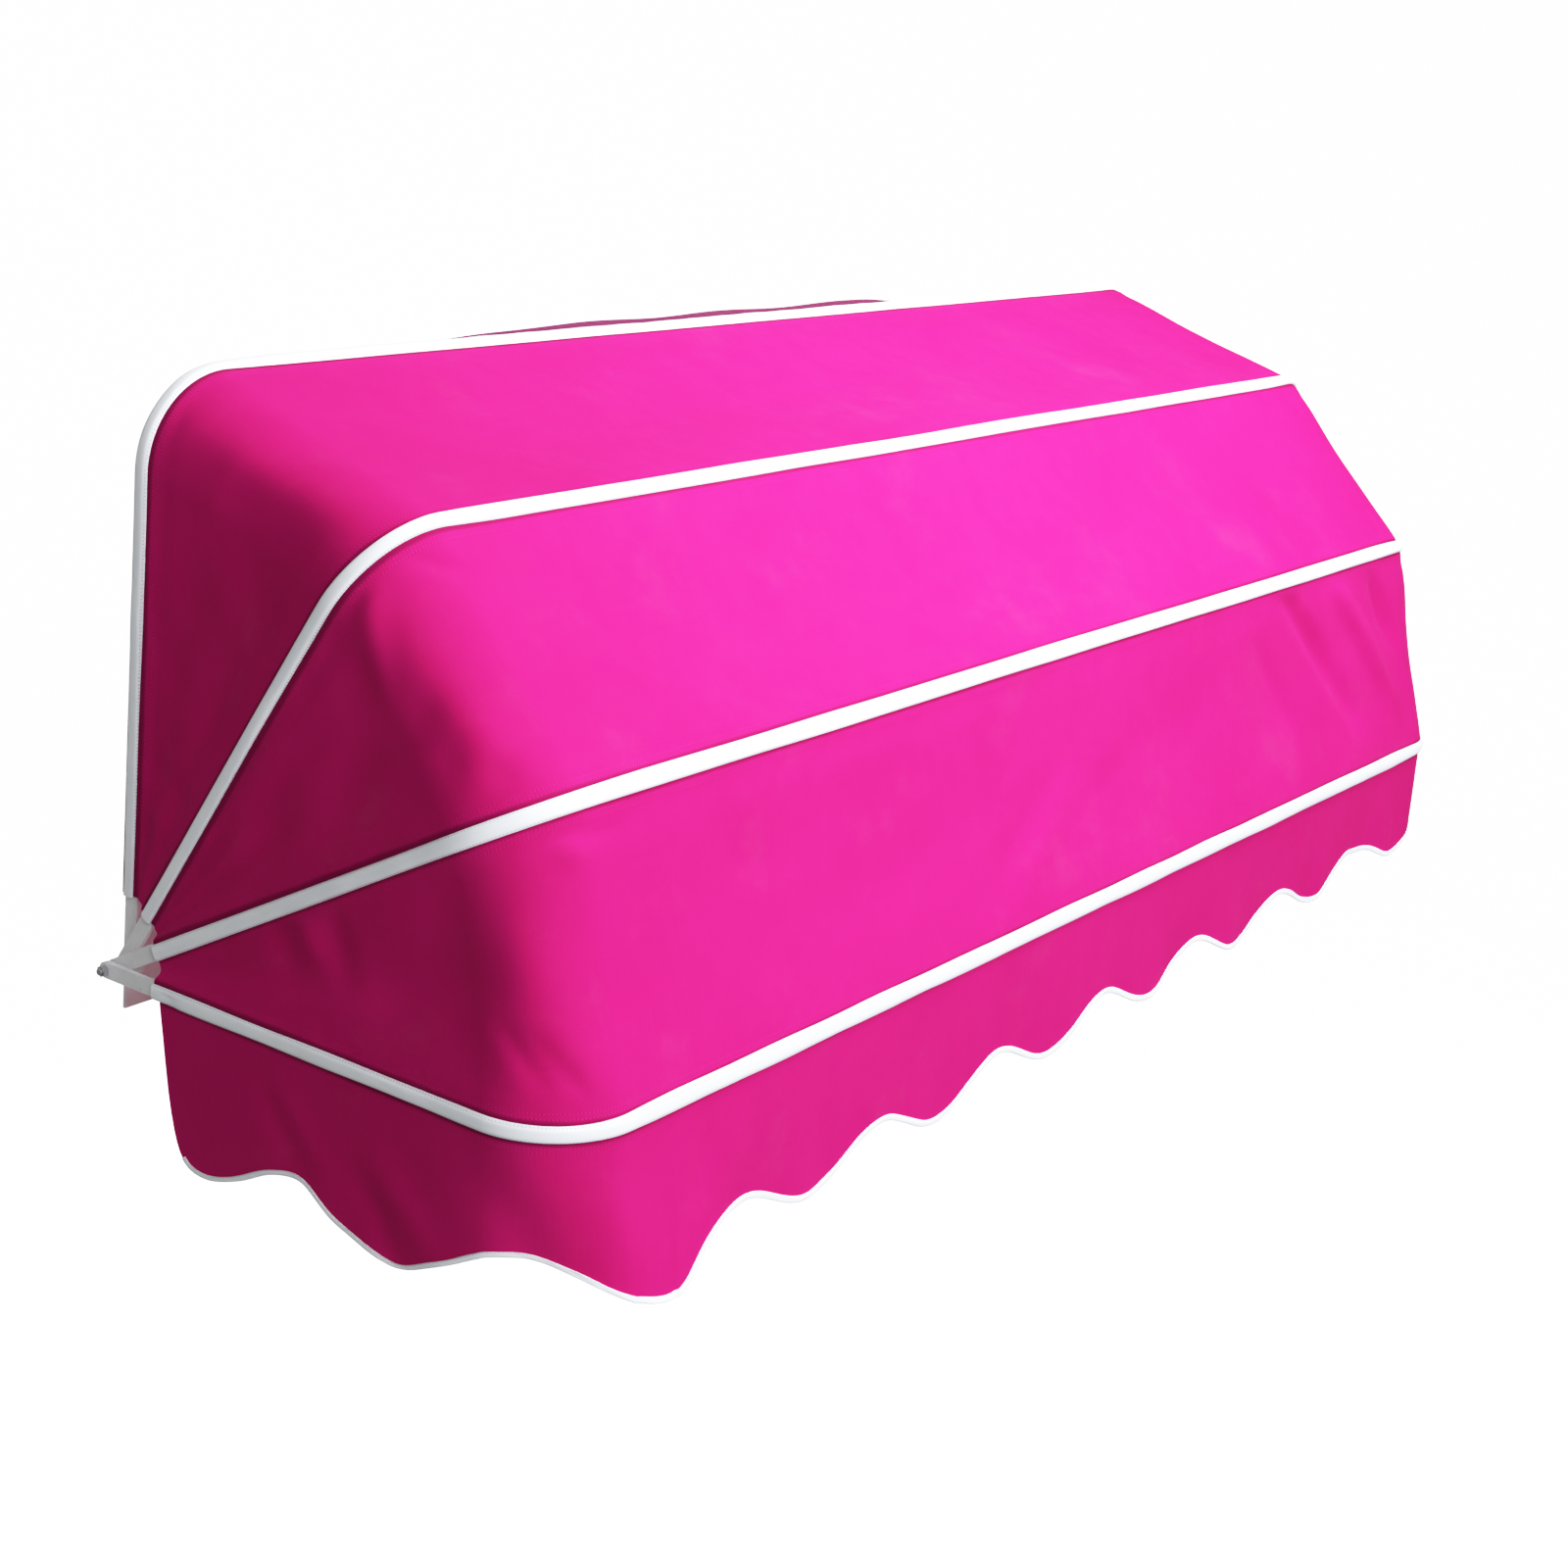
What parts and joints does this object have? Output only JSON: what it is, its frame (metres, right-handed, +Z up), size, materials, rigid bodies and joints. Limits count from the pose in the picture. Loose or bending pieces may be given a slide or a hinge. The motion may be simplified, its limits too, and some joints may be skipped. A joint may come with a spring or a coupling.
{
  "type": "retractable awning",
  "caption": "Folding hoop awning: cloth panels over U-shaped hoops that swing up on wall brackets, white trim over each hoop and a scalloped valance along the front.",
  "frame": {"origin": "on the wall plane, in the middle of the width, at the height of the pivot line", "axes": "+X along the width to the right as seen from the front, +Y into the wall, +Z up"},
  "size_m": [2.3828, 0.7214, 0.8988],
  "materials": {
    "canopy_cloth": "matt woven acrylic, magenta",
    "white_tape": "matt woven tape, white",
    "aluminium_bar": "aluminium, powder coat, white",
    "cast_corner": "cast aluminium, powder coat, white",
    "white_paint": "powder coat, white",
    "plated_steel": "zinc plated",
    "nylon": "moulded"
  },
  "bodies": {
    "wall_frame": {"wall_arm_left": "aluminium_bar", "wall_arm_right": "aluminium_bar", "wall_corner_left": "cast_corner", "wall_corner_right": "cast_corner", "wall_bar": "aluminium_bar", "wall_trim": "white_tape", "wall_bracket_left": "white_paint", "wall_bracket_right": "white_paint", "pivot_bolt_left": "plated_steel", "pivot_bolt_right": "plated_steel", "pivot_nut_left": "plated_steel", "pivot_nut_right": "plated_steel", "pivot_spacer_inner_left": "nylon", "pivot_spacer_inner_right": "nylon", "pivot_spacer_middle_left": "nylon", "pivot_spacer_middle_right": "nylon", "pivot_spacer_outer_left": "nylon", "pivot_spacer_outer_right": "nylon", "bracket_screw_top_left": "plated_steel", "bracket_screw_top_right": "plated_steel", "bracket_screw_bottom_left": "plated_steel", "bracket_screw_bottom_right": "plated_steel", "pulley_block_left": "white_paint", "pulley_block_right": "white_paint", "pulley_axle_left": "plated_steel", "pulley_axle_right": "plated_steel", "wall_clip_left": "white_paint", "wall_clip_middle": "white_paint", "wall_clip_right": "white_paint"},
    "upper_hoop": {"upper_arm_left": "aluminium_bar", "upper_arm_right": "aluminium_bar", "upper_corner_left": "cast_corner", "upper_corner_right": "cast_corner", "upper_bar": "aluminium_bar", "upper_trim": "white_tape", "canopy_upper": "canopy_cloth"},
    "middle_hoop": {"middle_arm_left": "aluminium_bar", "middle_arm_right": "aluminium_bar", "middle_corner_left": "cast_corner", "middle_corner_right": "cast_corner", "middle_bar": "aluminium_bar", "middle_trim": "white_tape", "canopy_middle": "canopy_cloth"},
    "front_hoop": {"front_arm_left": "aluminium_bar", "front_arm_right": "aluminium_bar", "front_corner_left": "cast_corner", "front_corner_right": "cast_corner", "front_bar": "aluminium_bar", "front_trim": "white_tape", "canopy_lower": "canopy_cloth", "valance": "canopy_cloth", "valance_binding": "white_tape", "cord_eye_left": "plated_steel", "cord_eye_right": "plated_steel"},
    "pulley_left": {"pulley_wheel_left": "nylon"},
    "pulley_right": {"pulley_wheel_right": "nylon"}
  },
  "joints": [
    {"name": "canopy_fold", "type": "hinge", "parent": "wall_frame", "child": "upper_hoop", "pos_m": [0, -0.016, 0], "axis": [-1, 0, 0], "range_deg": [0, 25], "deforming": ["canopy_upper"]},
    {"name": "middle_hoop_fold", "type": "hinge", "parent": "upper_hoop", "child": "middle_hoop", "pos_m": [0, -0.016, 0], "axis": [-1, 0, 0], "range_deg": [0, 25], "deforming": ["canopy_middle"]},
    {"name": "front_hoop_fold", "type": "hinge", "parent": "middle_hoop", "child": "front_hoop", "pos_m": [0, -0.016, 0], "axis": [-1, 0, 0], "range_deg": [0, 25], "deforming": ["canopy_lower"]},
    {"name": "pulley_left_spin", "type": "hinge", "parent": "wall_frame", "child": "pulley_left", "pos_m": [-0.6, -0.017, 0.628], "axis": [1, 0, 0], "continuous": true},
    {"name": "pulley_right_spin", "type": "hinge", "parent": "wall_frame", "child": "pulley_right", "pos_m": [0.6, -0.017, 0.628], "axis": [1, 0, 0], "continuous": true}
  ],
  "couplings": [
    {"joint": "middle_hoop_fold", "follows": "canopy_fold", "ratio": 1},
    {"joint": "front_hoop_fold", "follows": "canopy_fold", "ratio": 1}
  ]
}
